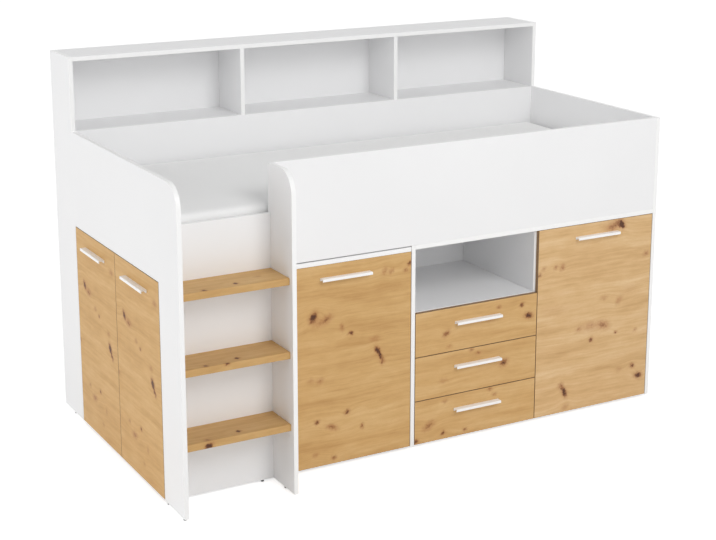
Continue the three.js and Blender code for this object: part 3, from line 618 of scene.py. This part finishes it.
for node in ["desk_front_wheels", "desk_rear_wheels"]:
    low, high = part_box(node)
    centre = ((low[0] + high[0]) / 2, (low[1] + high[1]) / 2, (low[2] + high[2]) / 2)
    half = (high[0] - low[0]) / 2
    ease = np.linspace(0, math.pi / 2, EASING_STEPS)
    round_radius = WHEEL_RADIUS - WHEEL_EASING * (1 - np.sin(ease))
    round_place = WHEEL_EASING * (1 - np.cos(ease))
    outer = half - HUB_WIDTH
    inner = outer - WHEEL_WIDTH
    tread = np.concatenate([
        np.stack([round_radius, inner + round_place], axis=1),
        np.stack([round_radius[::-1], outer - round_place[::-1]], axis=1),
    ])
    inner_side = [
        (HUB_RADIUS - HUB_EASING, inner - HUB_WIDTH),
        (HUB_RADIUS, inner - HUB_WIDTH + HUB_EASING),
        (HUB_RADIUS, inner + WEB_SINK),
        (WHEEL_RADIUS - RIM_FOOT, inner + WEB_SINK),
        (WHEEL_RADIUS - RIM_TOP, inner),
    ]
    outer_side = [
        (WHEEL_RADIUS - RIM_TOP, outer),
        (WHEEL_RADIUS - RIM_FOOT, outer - WEB_SINK),
        (HUB_RADIUS, outer - WEB_SINK),
        (HUB_RADIUS, half - HUB_EASING),
        (HUB_RADIUS - HUB_EASING, half),
    ]
    right_wheel = np.concatenate([inner_side, tread, outer_side])
    left_wheel = right_wheel[::-1] * (1, -1)
    for side, profile in [("right", right_wheel), ("left", left_wheel)]:
        stands_for(turned(f"{node}_{side}", profile, centre, 0, wheel_plastic, WHEEL_STEPS), node)
    axle_profile = [(AXLE_RADIUS, -inner), (AXLE_RADIUS, inner)]
    stands_for(turned(f"{node}_axle", axle_profile, centre, 0, axle_steel, AXLE_STEPS), node)

# Handles.
# Channel grips in white powder coat, 196 mm long: a flange on the board, a roof over the fingers and a lip
# in front, open below and at the ends.
HANDLE_WALL = 3 * MM
HANDLE_CORNER = 2 * MM
HANDLE_LOWER_CORNER = 1 * MM
HANDLE_ARRIS = 0.6 * MM
LIP_STEPS = 8
POWDER_WHITE = (0.96, 0.957, 0.95, 1)
powder_coat, tree, shader = new_material("white_powder_coat", base_color=POWDER_WHITE, roughness=0.3)
orange_peel = noise(tree, object_place(tree), scale=650.0)
vary_gloss(tree, shader, orange_peel, 0.27, 0.36)
relief(tree, shader, orange_peel, 0.03 * MM)


def grip_section(proud, height):
    """The channel from its end, as (out from the board, up): flange, roof and lip, rounded in front."""
    corner = HANDLE_CORNER
    foot = HANDLE_LOWER_CORNER
    lip = proud - HANDLE_WALL
    roof = height - HANDLE_WALL
    return np.array([
        (0, 0), (HANDLE_WALL, 0), (HANDLE_WALL, roof), (lip, roof), (lip, 0),
        *arc((proud - foot, foot), foot, -90, 0, LIP_STEPS),
        *arc((proud - corner, height - corner), corner, 0, 90, LIP_STEPS),
        (0, height),
    ])


for node in [name for name in frame["nodes"] if "handle" in name]:
    low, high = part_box(node)
    along = 1 if high[1] - low[1] > high[0] - low[0] else 0
    out = 1 - along
    section = grip_section(high[out] - low[out], high[2] - low[2])
    places = {out: high[out] - section[:, 0], 2: low[2] + section[:, 1]}
    outline = np.stack([places[axis] for axis in PLANE_AXES[along]], axis=1)
    grip = plate(f"{node}_bar", outline, along, low[along], high[along], [powder_coat], HANDLE_ARRIS)
    stands_for(grip, node)

# Hinges and drawer racks.
# Nickel-plated concealed hinges let into the doors, and folded steel racks in white epoxy whose ledges carry
# the drawer boxes.
NICKEL = (0.62, 0.61, 0.59, 1)
BRUSHED_SCALE = (40.0, 40.0, 900.0)
RACK_WHITE = (0.83, 0.83, 0.82, 1)
hinge_steel, tree, shader = new_material("hinge_steel", base_color=NICKEL, metallic=1.0)
brushed = noise(tree, stretched_place(tree, BRUSHED_SCALE))
vary_gloss(tree, shader, brushed, 0.2, 0.38)
relief(tree, shader, brushed, 0.02 * MM)
for node in [name for name in frame["nodes"] if "hinge" in name]:
    refinish(frame["nodes"][node], hinge_steel)
rack_epoxy = white_sheet("rack_epoxy", RACK_WHITE, roughness=0.35, grain=500.0, depth=0.04 * MM)
for node in ["drawer_rack_left", "drawer_rack_right"]:
    refinish(frame["nodes"][node], rack_epoxy)

# Slatted base.
# Planed pine: a rail along each side and fourteen loose slats, held at one pitch by two woven straps. The
# slats lie across the bed on the rails, and the straps run its length through their middles.
SLAT_COUNT = 14
SLAT_WIDTH = 72 * MM
SLAT_ARRIS = 2 * MM
RAIL_ARRIS = 1.5 * MM
STRAP_WIDTH = 25 * MM
STRAP_THICKNESS = 3 * MM
STRAP_FROM_END = 110 * MM
PINE_RINGS = (130.0, 5.0, 60.0)
PINE_HAIR = (900.0, 25.0, 400.0)
PINE_DARK = (0.62, 0.4, 0.2, 1)
PINE_LIGHT = (0.83, 0.66, 0.42, 1)
WEBBING_DARK = (0.6, 0.58, 0.53, 1)
WEBBING_LIGHT = (0.8, 0.78, 0.73, 1)
pine, tree, shader = new_material("planed_pine", roughness=0.6)
rings = noise(tree, stretched_place(tree, PINE_RINGS))
paint(tree, shader, add(tree, "MixRGB", rings, PINE_DARK, PINE_LIGHT))
relief(tree, shader, noise(tree, stretched_place(tree, PINE_HAIR)), 0.1 * MM)
for node in ["slat_rail_front", "slat_rail_rear"]:
    board(node, [pine], RAIL_ARRIS)
low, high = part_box("slat_roll")
rail_low, rail_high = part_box("slat_rail_front")
pitch = (rail_high[0] - rail_low[0]) / SLAT_COUNT
for i in range(SLAT_COUNT):
    middle = rail_low[0] + (i + 0.5) * pitch
    slat_low = (middle - SLAT_WIDTH / 2, low[1], low[2])
    slat_high = (middle + SLAT_WIDTH / 2, high[1], high[2])
    outline = rectangle(slat_low, slat_high, 2)
    slat = plate(f"slat_{i + 1}", outline, 2, low[2], high[2], [pine], SLAT_ARRIS)
    stands_for(slat, "slat_roll")
strap_web, tree, shader = new_material("strap_webbing", roughness=0.9)
ribs = add(tree, "TexWave", named={"Vector": object_place(tree), "Scale": 260.0, "Distortion": 1.0})
paint(tree, shader, add(tree, "MixRGB", ribs, WEBBING_DARK, WEBBING_LIGHT))
relief(tree, shader, ribs, 0.4 * MM)
for side, middle in [("front", low[1] + STRAP_FROM_END), ("rear", high[1] - STRAP_FROM_END)]:
    level = (low[2] + high[2]) / 2
    strap_low = (low[0] + SLAT_WIDTH / 2, middle - STRAP_WIDTH / 2, level)
    strap_high = (high[0] - SLAT_WIDTH / 2, middle + STRAP_WIDTH / 2, level)
    outline = rectangle(strap_low, strap_high, 2)
    half = STRAP_THICKNESS / 2
    strap = plate(f"slat_strap_{side}", outline, 2, level - half, level + half, [strap_web])
    stands_for(strap, "slat_roll")

# Mattress.
# A foam mattress in a white knitted cover, 80 by 200 cm: rounded along its edges and crowned on top. The
# foam's shape is drawn in a little, blown up as cloth, and held near where it was.
MATTRESS_WELD = 0.1 * MM
MATTRESS_VOXEL = 15 * MM
MATTRESS_START = 3 * MM
MATTRESS_SWELL = 5 * MM
CLOTH_PRESSURE = 4.0
CLOTH_QUALITY = 5
CLOTH_FRAMES = 20
LEAST_MOVE = 1e-9
STITCH_SCALE = (420.0, 620.0, 420.0)
STITCH_DEPTH = -0.4
PUCKER_HEIGHT = 1.6
STITCH_WHITE = (0.97, 0.97, 0.965, 1)
STITCH_SHADOW = (0.92, 0.92, 0.915, 1)
knit, tree, shader = new_material("knitted_cover", roughness=0.92, sheen_weight=0.25, sheen_roughness=0.5)
stitch = add(tree, "TexVoronoi", stretched_place(tree, STITCH_SCALE))
paint(tree, shader, add(tree, "MixRGB", stitch, STITCH_WHITE, STITCH_SHADOW))
puckers = noise(tree, object_place(tree), scale=28.0, detail=3.0)
sunk_stitch = add(tree, "Math", stitch, STITCH_DEPTH, operation="MULTIPLY")
height = add(tree, "Math", puckers, PUCKER_HEIGHT, sunk_stitch, operation="MULTIPLY_ADD")
relief(tree, shader, height, 0.8 * MM)

mesh = frame["nodes"]["mattress"].data.copy()
mattress = bpy.data.objects.new("mattress_cover", mesh)
scene.collection.objects.link(mattress)
edit = bmesh.new()
edit.from_mesh(mesh)
bmesh.ops.remove_doubles(edit, verts=edit.verts, dist=MATTRESS_WELD)
edit.normal_update()
for vertex in edit.verts:
    vertex.co -= vertex.normal * MATTRESS_START
edit.to_mesh(mesh)
edit.free()


def apply_modifiers(piece):
    """Turns a piece's modifiers into its mesh."""
    graph = bpy.context.evaluated_depsgraph_get()
    final = bpy.data.meshes.new_from_object(piece.evaluated_get(graph))
    piece.modifiers.clear()
    piece.data = final


remesh = mattress.modifiers.new("foam", "REMESH")
remesh.mode = "VOXEL"
remesh.voxel_size = MATTRESS_VOXEL
apply_modifiers(mattress)
foam = points_of(mattress.data)
cloth = mattress.modifiers.new("cover", "CLOTH")
cloth.settings.use_pressure = True
cloth.settings.uniform_pressure_force = CLOTH_PRESSURE
cloth.settings.effector_weights.gravity = 0.0
cloth.settings.quality = CLOTH_QUALITY
cloth.point_cache.frame_start = 1
cloth.point_cache.frame_end = CLOTH_FRAMES
for number in range(1, CLOTH_FRAMES + 1):
    scene.frame_set(number)
apply_modifiers(mattress)
move = points_of(mattress.data) - foam
reach = np.linalg.norm(move, axis=1, keepdims=True)
foam += move * np.minimum(1.0, MATTRESS_SWELL / np.maximum(reach, LEAST_MOVE))
scene.frame_set(1)
low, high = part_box("mattress")
foam = np.clip(foam, np.array(low), np.array(high))
mattress.data.vertices.foreach_set("co", foam.ravel())
refinish(mattress, knit)
mattress.data.shade_smooth()
mattress.data.update()
smooth = mattress.modifiers.new("smooth", "SUBSURF")
smooth.levels = 1
smooth.render_levels = 1
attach(mattress, "root")
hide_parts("mattress")

# Floor, light and camera.
# A white floor under an even white sky, with one broad soft lamp from the left and two from the front, high
# and low. The camera stands at the photograph's place, to the left of the bed and above it.
SKY_LIGHT = 0.53
FLOOR_LIFT = 0.6
LAMPS = [
    ("left_lamp", (-6.4, 0.2, 2.1), 4.0, 102.0),
    ("high_front_lamp", (0.3, -5.6, 5.0), 3.0, 120.0),
    ("low_front_lamp", (0.2, -7.0, 2.6), 4.0, 60.0),
]
LAMP_AIM = (0.0, 0.0, 0.6)
CAMERA_PLACE = (-2.7619, -4.8868, 2.2139)
CAMERA_TURN = 29.13
CAMERA_DIP = 13.255
CAMERA_LENS = 77.12
CAMERA_SENSOR = 36.0
CAMERA_SHIFT = -0.12
FLOOR_REACH = 30.0
FLOOR_GREY = (0.85, 0.85, 0.85, 1)
WHITE = (1, 1, 1, 1)


def shown_rays(tree):
    """1 for rays from the camera, a mirror or glass, 0 for the rays that light the object."""
    rays = tree.nodes.new("ShaderNodeLightPath").outputs
    seen = add(tree, "Math", rays["Is Camera Ray"], rays["Is Glossy Ray"], operation="MAXIMUM")
    return add(tree, "Math", seen, rays["Is Transmission Ray"], operation="MAXIMUM")


world = bpy.data.worlds.new("white_studio")
world.use_nodes = True
scene.world = world
sky = world.node_tree.nodes["Background"]
sky.inputs["Color"].default_value = WHITE
strength = add(world.node_tree, "MapRange", shown_rays(world.node_tree), 0.0, 1.0, SKY_LIGHT, 1.0)
world.node_tree.links.new(strength, sky.inputs["Strength"])

floor_paint, tree, shader = new_material("floor_paint", base_color=FLOOR_GREY, roughness=0.9)
shader.inputs["Emission Color"].default_value = WHITE
lift = add(tree, "Math", shown_rays(tree), FLOOR_LIFT, operation="MULTIPLY")
tree.links.new(lift, shader.inputs["Emission Strength"])
mesh = bpy.data.meshes.new("floor")
corners = [(-1, -1), (1, -1), (1, 1), (-1, 1)]
mesh.from_pydata([(x * FLOOR_REACH, y * FLOOR_REACH, 0.0) for x, y in corners], [], [(0, 1, 2, 3)])
mesh.materials.append(floor_paint)
floor = bpy.data.objects.new("floor", mesh)
scene.collection.objects.link(floor)
floor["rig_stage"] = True

for name, lamp_place, size, power in LAMPS:
    light = bpy.data.lights.new(name, "AREA")
    light.shape = "DISK"
    light.size = size
    light.energy = power
    lamp = bpy.data.objects.new(name, light)
    lamp.location = lamp_place
    away = np.array(lamp_place) - np.array(LAMP_AIM)
    tilt = math.acos(away[2] / np.linalg.norm(away))
    turn = math.atan2(away[1], away[0]) + math.pi / 2
    lamp.rotation_euler = (tilt, 0, turn)
    scene.collection.objects.link(lamp)

view = bpy.data.cameras.new("view")
view.lens = CAMERA_LENS
view.sensor_width = CAMERA_SENSOR
view.shift_y = CAMERA_SHIFT
camera = bpy.data.objects.new("view", view)
camera.location = CAMERA_PLACE
camera.rotation_euler = (math.radians(90 - CAMERA_DIP), 0, math.radians(-CAMERA_TURN))
scene.collection.objects.link(camera)
scene.camera = camera
scene.view_settings.view_transform = "Standard"

low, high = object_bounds()
